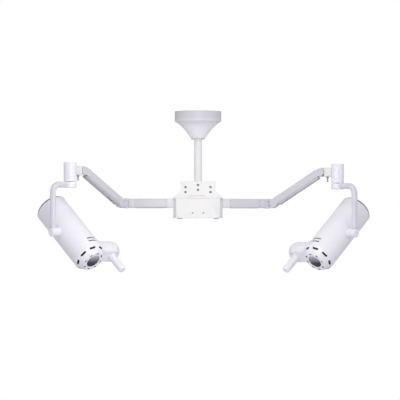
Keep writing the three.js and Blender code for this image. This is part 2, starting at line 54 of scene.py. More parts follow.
UP = Vector((0, 0, 1))
HERE = Matrix()
FACING_FRONT = Matrix.Rotation(math.pi / 2, 4, "X")  # turns local +Z to face -Y
FACING_BACK = Matrix.Rotation(math.pi, 4, "Z") @ FACING_FRONT
UPSIDE_DOWN = Matrix.Rotation(math.pi, 4, "X")
AXIS_TURNS = {  # turn local +Z to face along each axis
    "x": Matrix.Rotation(math.pi / 2, 4, "Y"),
    "y": Matrix.Rotation(-math.pi / 2, 4, "X"),
    "z": Matrix(),
}

LARGE, FINE, MIDDLE, SMALL = 128, 96, 48, 24  # facets round a turned shape, from a lamp down to a screw
SHARP_ANGLE = math.radians(32)  # edges bent by more than this stay sharp in the shading
GAP = 0.3  # between pieces that touch


# ---- places taken from the frame


def joint_place(name):
    return Vector(JOINTS[name]["pos_m"])


def joint_axis(name):
    return Vector(JOINTS[name]["axis"]).normalized()


def distance(side, a, b):
    """Millimetres between two joints of one arm."""
    return (joint_place(f"{side}_{a}") - joint_place(f"{side}_{b}")).length / MM


def axes(origin, x, z=UP):
    """A local frame at origin with its X along x and its Z as near to z as it can be."""
    x = x.normalized()
    y = z.cross(x).normalized()
    turn = Matrix((x, y, x.cross(y))).transposed().to_4x4()
    return Matrix.Translation(origin) @ turn


def side_places(side):
    """The local frames of one arm, from the hub outwards."""
    hub, elbow, pitch, end, swivel, tilt = (
        joint_place(f"{side}_{name}")
        for name in ("hub_yaw", "elbow_yaw", "arm_pitch", "level", "swivel", "tilt")
    )
    toward_leg = joint_axis(f"{side}_tilt")
    forward = joint_axis(f"{side}_handle_turn")
    return {
        "extension": axes(hub, elbow - hub),
        "fork": axes(elbow, elbow - hub),
        "elbow": axes(elbow, pitch - elbow),
        "spring": axes(pitch, end - pitch),
        "level": axes(end, swivel - end),
        "yoke": axes(swivel, toward_leg),
        "lamp": axes(tilt, toward_leg, -forward),
    }


# ---- materials


def new_material(name):
    material = bpy.data.materials.new(name)
    material.use_nodes = True
    tree = material.node_tree
    return material, tree, tree.nodes["Principled BSDF"]


def set_inputs(node, values):
    for name, value in values.items():
        node.inputs[name].default_value = value


def coordinates(tree, kind):
    return tree.nodes.new("ShaderNodeTexCoord").outputs[kind]


def noise(tree, scale, detail, stretch=None):
    """Noise over the piece's own coordinates, which are metres; stretch squeezes it along an axis."""
    node = tree.nodes.new("ShaderNodeTexNoise")
    set_inputs(node, {"Scale": scale, "Detail": detail})
    source = coordinates(tree, "Object")
    if stretch:
        mapping = tree.nodes.new("ShaderNodeMapping")
        set_inputs(mapping, {"Scale": stretch})
        tree.links.new(source, mapping.inputs["Vector"])
        source = mapping.outputs["Vector"]
    tree.links.new(source, node.inputs["Vector"])
    return node.outputs["Fac"]


def ramp(tree, fac, low, high, start=0.3, end=0.7):
    """A colour ramp between two colours, by default over the middle of a noise's range."""
    node = tree.nodes.new("ShaderNodeValToRGB")
    first, last = node.color_ramp.elements
    first.position, first.color = start, (*low, 1)
    last.position, last.color = end, (*high, 1)
    tree.links.new(fac, node.inputs["Fac"])
    return node.outputs["Color"]


def spread(tree, fac, low, high):
    """A number that follows the middle of a noise's range from low to high."""
    node = tree.nodes.new("ShaderNodeMapRange")
    set_inputs(node, {"From Min": 0.3, "From Max": 0.7, "To Min": low, "To Max": high})
    tree.links.new(fac, node.inputs["Value"])
    return node.outputs["Result"]


def height_and_noise(tree, amount, scale):
    """Height within the piece, from 0 to 1, made uneven by a noise."""
    split = tree.nodes.new("ShaderNodeSeparateXYZ")
    tree.links.new(coordinates(tree, "Generated"), split.inputs["Vector"])
    total = tree.nodes.new("ShaderNodeMath")
    total.operation = "MULTIPLY_ADD"
    total.inputs[1].default_value = amount
    tree.links.new(noise(tree, scale, 2), total.inputs[0])
    tree.links.new(split.outputs["Z"], total.inputs[2])
    return total.outputs["Value"]


def bump(tree, shader, fac, strength, depth):
    node = tree.nodes.new("ShaderNodeBump")
    set_inputs(node, {"Strength": strength, "Distance": depth})
    tree.links.new(fac, node.inputs["Height"])
    tree.links.new(node.outputs["Normal"], shader.inputs["Normal"])


def shaded(colour, factor):
    return tuple(c * factor for c in colour)


def enamel(name, colour, rough=0.38):
    """Sprayed enamel: faint cloudy tone, satin patches, a clear coat and a fine orange-peel skin."""
    material, tree, shader = new_material(name)
    tone = ramp(tree, noise(tree, 9, 4), shaded(colour, 0.975), colour)
    tree.links.new(tone, shader.inputs["Base Color"])
    satin = spread(tree, noise(tree, 22, 5), rough - 0.05, rough + 0.07)
    tree.links.new(satin, shader.inputs["Roughness"])
    set_inputs(shader, {"Coat Weight": 0.25, "Coat Roughness": 0.22})
    bump(tree, shader, noise(tree, 620, 2), 0.06, 0.0004)
    return material


def canopy_enamel_painted_light(name, rim, neck):
    """Enamel with painted light: the downward-facing neck of the bell is painted paler and the upright rim
    darker, for the light that falls on each.
    """
    material, tree, shader = new_material(name)
    # painted light: paler towards the neck, darker towards the rim, by height in the piece
    tone = ramp(tree, height_and_noise(tree, 0.1, 12), neck, rim, 0.45, 0.8)
    tree.links.new(tone, shader.inputs["Base Color"])
    tree.links.new(spread(tree, noise(tree, 22, 5), 0.36, 0.48), shader.inputs["Roughness"])
    bump(tree, shader, noise(tree, 620, 2), 0.12, 0.0004)
    return material


def moulded(name, colour, rough=0.55):
    """Moulded plastic or blackened steel with a fine grain."""
    material, tree, shader = new_material(name)
    tone = ramp(tree, noise(tree, 30, 4), shaded(colour, 0.93), colour)
    tree.links.new(tone, shader.inputs["Base Color"])
    grain = spread(tree, noise(tree, 60, 4), rough - 0.06, rough + 0.06)
    tree.links.new(grain, shader.inputs["Roughness"])
    bump(tree, shader, noise(tree, 1400, 3), 0.3, 0.0003)
    return material


def brushed(name, colour, stretch, rough=0.3):
    """Brushed or turned steel: fine streaks, packed close along the stretched axis."""
    material, tree, shader = new_material(name)
    streaks = noise(tree, 90, 6, stretch)
    tree.links.new(ramp(tree, streaks, shaded(colour, 0.82), colour), shader.inputs["Base Color"])
    tree.links.new(spread(tree, streaks, rough - 0.08, rough + 0.1), shader.inputs["Roughness"])
    set_inputs(shader, {"Metallic": 1})
    bump(tree, shader, streaks, 0.15, 0.0002)
    return material


def lens_glass_painted_reflection(name):
    """Smoked heat-filter glass with a painted reflection: near black below, painted paler grey towards its
    upper edge where it would mirror the light from above.
    """
    material, tree, shader = new_material(name)
    height = height_and_noise(tree, 0.2, 18)
    # painted reflection: lighter towards the top of the glass
    tone = ramp(tree, height, (0.02, 0.02, 0.03), (0.66, 0.66, 0.71), 0.45, 0.93)
    tree.links.new(tone, shader.inputs["Base Color"])
    set_inputs(shader, {"Transmission Weight": 0.15, "Roughness": 0.12, "IOR": 1.45})
    bump(tree, shader, noise(tree, 35, 2), 0.05, 0.0008)
    return material


def facetted_reflector(name):
    """Polished aluminium with the soft dimples that spread the beam."""
    material, tree, shader = new_material(name)
    cells = tree.nodes.new("ShaderNodeTexVoronoi")
    set_inputs(cells, {"Scale": 160})
    tree.links.new(coordinates(tree, "Object"), cells.inputs["Vector"])
    tone = ramp(tree, noise(tree, 40, 3), (0.80, 0.81, 0.83), (0.90, 0.91, 0.92))
    tree.links.new(tone, shader.inputs["Base Color"])
    set_inputs(shader, {"Metallic": 1, "Roughness": 0.14})
    bump(tree, shader, cells.outputs["Distance"], 0.5, 0.001)
    return material


WHITE = enamel("lamp_enamel", (0.93, 0.918, 0.935))
GREY = enamel("arm_enamel", (0.67, 0.67, 0.675), rough=0.42)
PALE_GREY = enamel("barrel_enamel", (0.80, 0.80, 0.785), rough=0.42)
DEEP_GREY = enamel("channel_enamel", (0.55, 0.55, 0.575), rough=0.45)
PALE = enamel("hub_enamel", (0.86, 0.852, 0.805), rough=0.42)
SATIN = enamel("yoke_enamel", (0.74, 0.73, 0.755), rough=0.32)
# canopy: painted light, paler at the neck than at the rim
CANOPY_PAINTED_LIGHT = canopy_enamel_painted_light("canopy_enamel_painted_light", (0.635, 0.635, 0.645), (0.91, 0.905, 0.88))
SLATE = enamel("rear_cap_enamel", (0.15, 0.155, 0.17), rough=0.5)
TRIM = moulded("grey_trim", (0.36, 0.365, 0.39))
# black: an oxide finish on the hub screws and spring cartridge, and painted shade in the lamp's openings and
# the handle's slot
BLACK = moulded("black_oxide_and_painted_shade", (0.02, 0.02, 0.022), rough=0.45)
STEEL = brushed("turned_steel", (0.60, 0.61, 0.62), (1, 1, 18))
PLATE_STEEL = brushed("plate_steel", (0.55, 0.56, 0.57), (20, 1, 1), rough=0.38)
# lens: painted reflection, paler towards its top
GLASS_PAINTED_REFLECTION = lens_glass_painted_reflection("smoked_glass")
MIRROR = facetted_reflector("dimpled_reflector")
DIODE = moulded("diode_yellow", (0.72, 0.62, 0.22), rough=0.35)


# ---- outlines (local millimetres)


def filleted(points, closed=False, steps=5):
    """A polyline whose corners are rounded: a point is (a, b) or (a, b, radius)."""
    result = []
    count = len(points)
    nearly_straight = math.radians(89.5)
    for i, point in enumerate(points):
        corner = Vector(point[:2])
        radius = point[2] if len(point) > 2 else 0
        if not radius or (not closed and i in (0, count - 1)):
            result.append(corner)
            continue
        before = Vector(points[i - 1][:2]) - corner
        after = Vector(points[(i + 1) % count][:2]) - corner
        half = before.angle(after) / 2
        if half > nearly_straight:
            result.append(corner)
            continue
        reach = min(radius / math.tan(half), before.length * 0.49, after.length * 0.49)
        radius = reach * math.tan(half)
        start, end = corner + before.normalized() * reach, corner + after.normalized() * reach
        centre = corner + (before.normalized() + after.normalized()).normalized() * (radius / math.sin(half))
        arm = start - centre
        swing = arm.angle_signed(end - centre)
        for k in range(steps + 1):
            cos, sin = math.cos(swing * k / steps), math.sin(swing * k / steps)
            result.append(centre + Vector((arm.x * cos + arm.y * sin, arm.y * cos - arm.x * sin)))
    return [(p.x, p.y) for p in result]


def bezier(a, b, c, d, steps=14):
    """Points of a cubic curve after its first one."""
    points = []
    for k in range(1, steps + 1):
        t = k / steps
        s = 1 - t
        weights = (s**3, 3 * s * s * t, 3 * s * t * t, t**3)
        points.append(tuple(sum(w * p[i] for w, p in zip(weights, (a, b, c, d))) for i in range(2)))
    return points


def polar(radius, degrees):
    return radius * math.cos(math.radians(degrees)), radius * math.sin(math.radians(degrees))


def hexagon(radius):
    return [polar(radius, 60 * k) for k in range(6)]


def oblong(half_a, half_b, radius):
    return [(a * half_a, b * half_b, radius) for a, b in ((1, 1), (-1, 1), (-1, -1), (1, -1))]


def groove(r, low, high, deep, ease=0):
    """The four profile points of a groove round a turned shape."""
    return [(r, low, ease), (r - deep, low), (r - deep, high), (r, high, ease)]


# ---- solids (local millimetres)


def linked(name, mesh):
    obj = bpy.data.objects.new(name, mesh)
    bpy.context.collection.objects.link(obj)
    return obj


def new_object(name, verts, faces):
    mesh = bpy.data.meshes.new(name)
    mesh.from_pydata([Vector(v) * MM for v in verts], [], faces)
    work = bmesh.new()
    work.from_mesh(mesh)
    bmesh.ops.remove_doubles(work, verts=work.verts, dist=1e-7)
    bmesh.ops.recalc_face_normals(work, faces=work.faces)
    work.to_mesh(mesh)
    work.free()
    return linked(name, mesh)


def turned(name, profile, facets=FINE, ring=False):
    """A shape turned about local Z from (radius, height) points; a ring closes on its first point."""
    verts, rows = [], []
    for r, z in filleted(profile, closed=ring):
        count = 1 if r < 1e-6 else facets
        rows.append((len(verts), count))
        angles = [2 * math.pi * k / facets for k in range(count)]
        verts += [(r * math.cos(a), r * math.sin(a), z) for a in angles]
    faces = []
    for (a, count_a), (b, count_b) in zip(rows, rows[1:] + rows[:1] if ring else rows[1:]):
        for k in range(facets):
            n = (k + 1) % facets
            if count_a > 1 and count_b > 1:
                faces.append((a + k, a + n, b + n, b + k))
            elif count_a > 1:
                faces.append((a + k, a + n, b))
            elif count_b > 1:
                faces.append((a, b + n, b + k))
    return new_object(name, verts, faces)


def extruded(name, outline, low, high, axis="x", steps=5):
    """An outline run along an axis: (y, z) along x, (x, z) along y or (x, y) along z."""
    outline = filleted(outline, closed=True, steps=steps)
    place = {"x": 0, "y": 1, "z": 2}[axis]
    n = len(outline)
    verts = [(*p[:place], end, *p[place:]) for end in (low, high) for p in outline]
    faces = [tuple(range(n)), tuple(range(n, 2 * n))]
    faces += [(k, (k + 1) % n, n + (k + 1) % n, n + k) for k in range(n)]
    return new_object(name, verts, faces)


def swept(name, points, radius, facets=MIDDLE):
    """A round tube along points in local XZ."""
    verts, faces = [], []
    path = [Vector((x, 0, z)) for x, z in points]
    last = len(path) - 1
    across = Vector((0, 1, 0))
    for i, point in enumerate(path):
        along = (path[min(i + 1, last)] - path[max(i - 1, 0)]).normalized()
        lift = along.cross(across)
        for k in range(facets):
            angle = 2 * math.pi * k / facets
            verts.append(point + (across * math.cos(angle) + lift * math.sin(angle)) * radius)
    for i in range(last):
        a, b = i * facets, (i + 1) * facets
        for k in range(facets):
            n = (k + 1) % facets
            faces.append((a + k, a + n, b + n, b + k))
    faces += [tuple(range(facets)), tuple(range(last * facets, (last + 1) * facets))]
    return new_object(name, verts, faces)


def about_z(degrees):
    return Matrix.Rotation(math.radians(degrees), 4, "Z")


def shifted(obj, at=(0, 0, 0), turn=HERE):
    obj.data.transform(Matrix.Translation(Vector(at) * MM) @ turn)
    return obj


def facing(obj, at, direction):
    """Turns a shape that stands on local Z = 0 to look along a direction."""
    return shifted(obj, at, Vector(direction).to_track_quat("Z", "Y").to_matrix().to_4x4())


def block(name, x, y, z):
    return extruded(name, [(x[0], y[0]), (x[1], y[0]), (x[1], y[1]), (x[0], y[1])], *z, axis="z")


def rod(name, radius, low, high, axis="z", at=(0, 0, 0), facets=MIDDLE, ease=0):
    obj = turned(name, [(0, low), (radius, low, ease), (radius, high, ease), (0, high)], facets)
    return shifted(obj, at, AXIS_TURNS[axis])


def ellipsoid(name, half, at):
    """A ball of 24 steps from pole to pole, stretched to three half sizes."""
    angles = [180 * k / 24 - 90 for k in range(25)]
    return shifted(turned(name, [polar(1, a) for a in angles], MIDDLE), at, Matrix.Diagonal((*half, 1)))


def applied(obj):
    """Bakes an object's modifiers into its mesh."""
    graph = bpy.context.evaluated_depsgraph_get()
    mesh = bpy.data.meshes.new_from_object(obj.evaluated_get(graph))
    obj.modifiers.clear()
    obj.data = mesh
    return obj


def combined(obj, others, operation):
    for other in others:
        modifier = obj.modifiers.new("combine", "BOOLEAN")
        modifier.operation = operation
        modifier.object = other
        modifier.solver = "EXACT"
        applied(obj)
        bpy.data.objects.remove(other, do_unlink=True)
    return obj


def carved(obj, cutters):
    return combined(obj, cutters, "DIFFERENCE")


def united(obj, others):
    return combined(obj, others, "UNION")


def softened(obj, width, angle=35, segments=3):
    """Eases the edges that are sharper than an angle, by a width in millimetres."""
    modifier = obj.modifiers.new("ease", "BEVEL")
    modifier.width = width * MM
    modifier.segments = segments
    modifier.limit_method = "ANGLE"
    modifier.angle_limit = math.radians(angle)
    return applied(obj)


def gathered(name, parts):
    """Several closed shells as one object, with no boolean."""
    work = bmesh.new()
    for part in parts:
        work.from_mesh(part.data)
        bpy.data.objects.remove(part, do_unlink=True)
    mesh = bpy.data.meshes.new(name)
    work.to_mesh(mesh)
    work.free()
    return linked(name, mesh)


def piece(obj, material, place, body, *replaces):
    """Puts an object in its place with its finish, on the body that it rides on."""
    obj.data.transform(place)
    obj.data.materials.clear()
    obj.data.materials.append(material)
    obj.data.shade_smooth()
    obj.data.set_sharp_from_angle(angle=SHARP_ANGLE)
    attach(obj, body)
    if replaces:
        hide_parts(*replaces)


# ---- fasteners


def socket_screw(name, radius, high):
    """A socket-head cap screw that stands on local Z = 0 with its hexagon at the top."""
    head = turned(name, [(0, 0), (radius, 0), (radius, high, radius * 0.15), (0, high)], MIDDLE)
    socket = extruded("socket", hexagon(radius * 0.55), high - radius * 0.7, high + 1, axis="z")
    return carved(head, [socket])


def pan_screw(name, radius=3.4):
    """A small domed cross-head screw standing on local Z = 0."""
    dome = radius * 0.6
    head = turned(name, [(0, -2), (radius, -2), (radius, 0.4, 0.3), (dome, 1.4, 1), (0, 1.7)], SMALL)
    slots = [block("slot", (-a, a), (-b, b), (0.9, 3)) for a, b in ((dome, 0.45), (0.45, dome))]
    return carved(head, slots)


def pivot_pin(name, half, axis, sockets, x=0):
    """A pin across an arm's centre line, with a hexagon socket in each end."""
    pin = rod(name, 9, -half, half, axis, (x, 0, 0), ease=1.2)
    hexes = [extruded("hex", hexagon(5), low, low + 5, axis) for low in sockets]
    return carved(pin, [shifted(hexed, (x, 0, 0)) for hexed in hexes])


# ---- ceiling plate, canopy and pole

CEILING = Sizes(r=140, thick=12, hole_r=6.5, hole_circle=110, cable_r=14, cable_y=55)
BELL = Sizes(r=151.5, wall=2.5, top=-0.5, band_low=-66, neck_r=47, bottom=-174.8, pole_hole=26.4)
POLE = Sizes(r=25.4, bore=20, bottom=-499, weld_r=36, weld_low=-36)
FLANGE = Sizes(r=75, top=-12.3, bottom=-24.3, bolt_circle=58)


def build_ceiling_plate():
    r, low = CEILING.r, -CEILING.thick
    plate = turned("ceiling_anchor_plate", [(0, low), (r, low, 1), (r, 0, 0.6), (0, 0)])
    places = [(*polar(CEILING.hole_circle, 30 + 60 * k), 0) for k in range(6)]
    holes = [rod("hole", CEILING.hole_r, low - 1, 1, at=place) for place in places]
    holes.append(rod("cable_hole", CEILING.cable_r, low - 1, 1, at=(0, CEILING.cable_y, 0)))
    piece(carved(plate, holes), PLATE_STEEL, HERE, "root", "ceiling_plate")


def build_canopy():
    """An upright band over a flared cone, one sheet thick, closed in to the pole at its foot."""
    wall, floor = BELL.wall, BELL.bottom + BELL.wall
    flare = bezier((BELL.r, BELL.band_low), (110, -88), (85, -118), (BELL.neck_r, BELL.bottom))
    profile = [(BELL.r, BELL.top, 1), (BELL.r, BELL.band_low, 3), *flare]
    profile += [(BELL.pole_hole, BELL.bottom), (BELL.pole_hole, floor), (BELL.neck_r - 3, floor)]
    profile += [(r - wall, z) for r, z in reversed(flare[:-1])]
    profile += [(BELL.r - wall, BELL.band_low), (BELL.r - wall, BELL.top)]
    piece(turned("canopy_bell", profile, LARGE, ring=True), CANOPY_PAINTED_LIGHT, HERE, "root", "canopy_shell")


def build_collar():
    bore, r, top, bottom = BELL.pole_hole, 43, -175.3, -183
    profile = [(bore, top), (r, top, 0.8), (r, bottom, 2.4), (bore, bottom, 0.6)]
    collar = turned("canopy_clamp_ring", profile, ring=True)
    slit = block("slit", (bore - 2.4, r + 2), (-0.8, 0.8), (bottom - 1, top + 1.3))
    piece(carved(collar, [slit]), GREY, HERE, "root", "canopy_collar")


def build_pole():
    """A tube that swells through its weld into a bolted flange."""
    tube = [(POLE.bore, POLE.bottom), (POLE.r, POLE.bottom, 1), (POLE.r, POLE.weld_low, 9)]
    flange = [(POLE.weld_r, FLANGE.bottom, 3), (FLANGE.r, FLANGE.bottom, 1.5), (FLANGE.r, FLANGE.top, 1.5)]
    profile = tube + flange + [(POLE.bore, FLANGE.top)]
    piece(turned("drop_pole_tube", profile, ring=True), PALE, HERE, "root", "drop_pole")

    bolts = []
    for k in range(4):
        bolt = softened(extruded("bolt", hexagon(8), FLANGE.bottom - 6.7, FLANGE.bottom - GAP, "z"), 0.6)
        bolts.append(shifted(bolt, (*polar(FLANGE.bolt_circle, 45 + 90 * k), 0)))
    piece(gathered("pole_flange_bolts", bolts), STEEL, HERE, "root")


# ---- hub

HUB = Sizes(depth=50, top=-456, half_top=112.5, shoulder=-520, lip=-562, half_wide=163, split=-567.7)
HUB_SCREW = Sizes(r=6.8, high=4.5, recess_r=7.5, recess_deep=7)
HUB_SCREW_PLACES = [(-81, -494), (-81, -526), (0, -480), (0, -512), (81, -494), (81, -526)]  # (x, z)
HUB_PLUG = Sizes(r=4.9, seat_r=5.4, seat_deep=1.5, x=35, z=-661)
HUB_PIN_TOP = -553
PIVOT_X = 118
PIN_BORE = 12.6  # round the hub pins and the lamps' 12 mm spigots


def hub_pin_holes(low, high):
    return [rod("pin_hole", PIN_BORE, low, high, at=(x, 0, 0)) for x in (-PIVOT_X, PIVOT_X)]


def build_hub_bracket():
    """The upper block: sloping shoulders, six recessed screws and a shallow scoop in front."""
    wide, narrow = HUB.half_wide, HUB.half_top
    outline = [(-wide, HUB.split, 1), (wide, HUB.split, 1), (wide, HUB.lip, 2), (narrow, HUB.shoulder, 5)]
    outline += [(narrow, HUB.top, 3), (-narrow, HUB.top, 3), (-narrow, HUB.shoulder, 5), (-wide, HUB.lip, 2)]
    bracket = softened(extruded("hub_upper_bracket", outline, -HUB.depth, HUB.depth, "y"), 1.6)
    recess_end = HUB_SCREW.recess_deep - HUB.depth
    cutters = [
        rod("recess", HUB_SCREW.recess_r, -HUB.depth - 1, recess_end, "y", (x, 0, z))
        for x, z in HUB_SCREW_PLACES
    ]
    cutters.append(ellipsoid("scoop", (64, 7, 10.5), (0, -HUB.depth - 2, -556)))
    cutters.append(rod("pole_hole", POLE.r + 0.6, POLE.bottom - GAP, HUB.top + 1))
    cutters += hub_pin_holes(HUB.split - 2.3, HUB_PIN_TOP + 1)
    piece(carved(bracket, cutters), PALE, HERE, "root", "hub_bracket")

    seat = recess_end - 0.2
    screws = [
        shifted(socket_screw("screw", HUB_SCREW.r, HUB_SCREW.high), (x, seat, z), FACING_FRONT)
        for x, z in HUB_SCREW_PLACES
    ]
    piece(gathered("hub_socket_screws", screws), BLACK, HERE, "root")


def build_hub_core():
    """The lower block: a floor, a web and two face sheets, with the arm barrels between them."""
    depth, low, floor, high = HUB.depth, -694, -686.3, -568
    half_face, half_web, sheet, end_r = 143, 68, 6.5, 40
    core = extruded("hub_lower_core", oblong(HUB.half_wide, depth, end_r), low, floor, "z", steps=16)
    uprights = [
        block("sheet", (-half_face, half_face), span, (low + 1, high))
        for span in ((-depth, sheet - depth), (depth - sheet, depth))
    ]
    web_depth = depth - sheet + 0.5
    uprights.append(block("web", (-half_web, half_web), (-web_depth, web_depth), (low + 1, high)))
    core = softened(united(core, uprights), 1.3)
    cutters = hub_pin_holes(low - 1, floor + 1)
    for y in (-depth, depth):
        for x in (-70, 70):
            cutters.append(block("seam", (x - 0.7, x + 0.7), (y - 0.9, y + 0.9), (low + 9, high - 1)))
        for x in (-HUB_PLUG.x, HUB_PLUG.x):
            span = (y - HUB_PLUG.seat_deep, y + HUB_PLUG.seat_deep)
            cutters.append(rod("plug_seat", HUB_PLUG.seat_r, *span, "y", (x, 0, HUB_PLUG.z)))
    piece(carved(core, cutters), PALE, HERE, "root", "hub_core")


def build_hub_plugs():
    r = HUB_PLUG.r
    plugs = []
    for turn in (FACING_FRONT, FACING_BACK):
        out = turn @ Vector((0, 0, HUB.depth - 1.4))
        for x in (-HUB_PLUG.x, HUB_PLUG.x):
            plug = turned("plug", [(0, 0), (r, 0), (r, 1.2, 0.6), (0, 1.9)], MIDDLE)
            plugs.append(shifted(plug, out + Vector((x, 0, HUB_PLUG.z)), turn))
    piece(gathered("hub_hole_plugs", plugs), TRIM, HERE, "root")


def build_hub_pin(side, hand):
    r, head_r, low, seat, top = 12, 16, -700, -694.3, HUB_PIN_TOP
    profile = [(0, low), (head_r, low, 1.6), (head_r, seat, 0.8), (r, seat), (r, top, 1.5), (0, top)]
    pin = turned(f"{side}_hub_pivot_pin", profile, MIDDLE)
    pin = carved(pin, [extruded("hex", hexagon(7), low - 1, low + 4, "z")])
    place = Matrix.Translation((-hand * PIVOT_X * MM, 0, 0))
    piece(pin, STEEL, place, "root", f"{side}_hub_pin")


# ---- extension arm and elbow

ARM = Sizes(w=23, h=30, round=9)  # half width, half height and corner radius of the arm's section
SECTION = oblong(ARM.w, ARM.h, ARM.round)
BARREL_END = 84
FORK = Sizes(start=-52, barrel_r=22, barrel_half=15, room_r=25.5)
SMALL_BORE = 9.6  # round the 9 mm pins of the elbow and spring arm


def build_extension_barrel(side, place):
    """The barrel on the hub pin, with the neck and end plate that carry the extension tube."""
    r, low, seam, high = 42, -87.4, -38, ARM.h - GAP
    neck_start, plate_start = 36, 76
    profile = [(PIN_BORE, low, 1), (r, low, 2), *groove(r, seam, seam + 2, 1)]
    profile += [(r, high, 1.5), (PIN_BORE, high, 1)]
    barrel = turned(f"{side}_pivot_barrel", profile, ring=True)
    neck = extruded("neck", oblong(13, high, 4), neck_start, plate_start + 1)
    plate = extruded("plate", SECTION, plate_start, BARREL_END, steps=8)
    barrel = softened(united(barrel, [neck, plate]), 0.8, 50)
    piece(barrel, PALE_GREY, place, f"{side}_extension", f"{side}_extension_barrel")


def build_extension_tube(side, place, length):
    body = f"{side}_extension"
    start, end = BARREL_END + GAP, length + FORK.start - GAP
    tube = extruded(f"{side}_extension_beam", SECTION, start, end, steps=8)
    bore = extruded("bore", oblong(ARM.w - 4, ARM.h - 4, ARM.round - 4), start - 1, end + 1)
    piece(softened(carved(tube, [bore]), 0.7, 50), GREY, place, body, f"{side}_extension_tube")

    top, foot = -ARM.h - 0.1, -ARM.h - 1.5
    outline = [(-9, top, 0.4), (9, top, 0.4), (8, foot, 0.7), (-8, foot, 0.7)]
    strip = extruded(f"{side}_cable_strip", outline, start + 14, end - 14)
    piece(softened(strip, 0.5), TRIM, place, body)
    screws = [
        facing(pan_screw("screw"), (x, y * ARM.w, z), (0, y, 0))
        for x in (start + 7, end - 7)
        for y in (-1, 1)
        for z in (-16, 16)
    ]
    piece(gathered(f"{side}_extension_screws", screws), STEEL, place, body)


def build_elbow_fork(side, place):
    """The housing at the tube's end: a barrel on the elbow pin, hollowed above and below it for the ears."""
    body = f"{side}_extension"
    past = ARM.h + 1
    fork = extruded(f"{side}_elbow_fork", SECTION, FORK.start, 0, steps=8)
    rooms = [rod("ear_room", FORK.room_r, z, z + 16) for z in (FORK.barrel_half, -past)]
    rooms += [block("cheek", (-15, 1), span, (-past, past)) for span in ((18, 24), (-24, -18))]
    barrel = rod("barrel", FORK.barrel_r, -FORK.barrel_half, FORK.barrel_half)
    fork = united(carved(fork, rooms), [barrel])
    fork = softened(carved(fork, [rod("bore", SMALL_BORE, -past, past)]), 0.8, 50)
    piece(fork, GREY, place, body, f"{side}_elbow_housing")
    pin = pivot_pin(f"{side}_elbow_pivot_pin", 29, "z", (-31, 26))
    piece(pin, STEEL, place, body, f"{side}_elbow_pin")


def build_elbow_block(side, place, reach):
    """Two ears on the elbow pin, bridged to a tongue that carries the spring arm."""
    body = f"{side}_elbow"
    r, low, high, tongue, end_r = 24, 15.5, ARM.h, 11, 28
    elbow = rod(f"{side}_elbow_link", r, low, high)
    parts = [rod("ear", r, -high, -low)]
    parts += [block("bridge", (0, reach), (-tongue, tongue), span) for span in ((low, high), (-high, -low))]
    parts.append(block("web", (r - 1, reach), (-tongue, tongue), (-high, high)))
    parts.append(rod("end", end_r, -tongue, tongue, "y", (reach, 0, 0)))
    bores = [rod("bore", SMALL_BORE, -high - 1, high + 1)]
    bores.append(rod("cross_bore", SMALL_BORE, -tongue - 1, tongue + 1, "y", (reach, 0, 0)))
    elbow = softened(carved(united(elbow, parts), bores), 0.9, 50)
    piece(elbow, GREY, place, body, f"{side}_elbow_block")

    dome = [(0, high + 0.1), (15, high + 0.1), (15, high + 1.6, 1), (0, high + 2.6)]
    caps = [shifted(turned("cap", dome), turn=turn) for turn in (HERE, UPSIDE_DOWN)]
    piece(gathered(f"{side}_elbow_caps", caps), GREY, place, body)


# ---- spring arm

SPRING = Sizes(inset=30, rim=-13.7, channel_rim=-14, sheet=3)
EAR = Sizes(r=26, reach=40, thick=11.5)


def spring_ear(x, towards, near):
    """One side plate of an arm end: a disc about the pin that runs into the cover."""
    low, top = SPRING.rim, ARM.h - 0.2
    outline = [polar(EAR.r, a) for a in range(90, 301, 10)]
    outline += [(30, low), (EAR.reach, low), (EAR.reach, top), (27, top, 20), (14, 26, 20)]
    outline = [(x + towards * p[0], *p[1:]) for p in outline]
    return extruded("ear", outline, near, near + EAR.thick, "y")


def end_plates(start, end, low, high):
    across = (1 - ARM.w, ARM.w - 1)
    return [block("end", (x, x + SPRING.sheet), across, (low, high)) for x in (start, end - SPRING.sheet)]


def build_spring_cover(side, place, length):
    """The upper channel with its ears, pin bores and a ring groove round each pivot."""
    start, end, w, high, low = SPRING.inset, length - SPRING.inset, ARM.w, ARM.h, SPRING.rim
    leg, inside = w - SPRING.sheet, high - SPRING.sheet
    outline = [(-w, low), (-leg, low), (-leg, inside, 5), (leg, inside, 5), (leg, low)]
    outline += [(w, low), (w, high, 8), (-w, high, 8)]
    cover = extruded(f"{side}_spring_arm_cover", outline, start, end, steps=8)
    ears = [spring_ear(x, way, near) for x, way in ((0, 1), (length, -1)) for near in (-w, w - EAR.thick)]
    cover = softened(united(cover, ears + end_plates(start, end, low, high - 1)), 0.7, 50)
    cutters = [rod("bore", SMALL_BORE, 1.5 - w, w - 1.5, "y", (x, 0, 0)) for x in (0, length)]
    for x in (0, length):
        for y in (-w, w):
            ring = turned("ring", [(15, -0.6), (15.9, -0.6), (15.9, 0.6), (15, 0.6)], ring=True)
            cutters.append(facing(ring, (x, y, 0), (0, 1, 0)))
    piece(carved(cover, cutters), GREY, place, f"{side}_spring_arm", f"{side}_spring_cover")


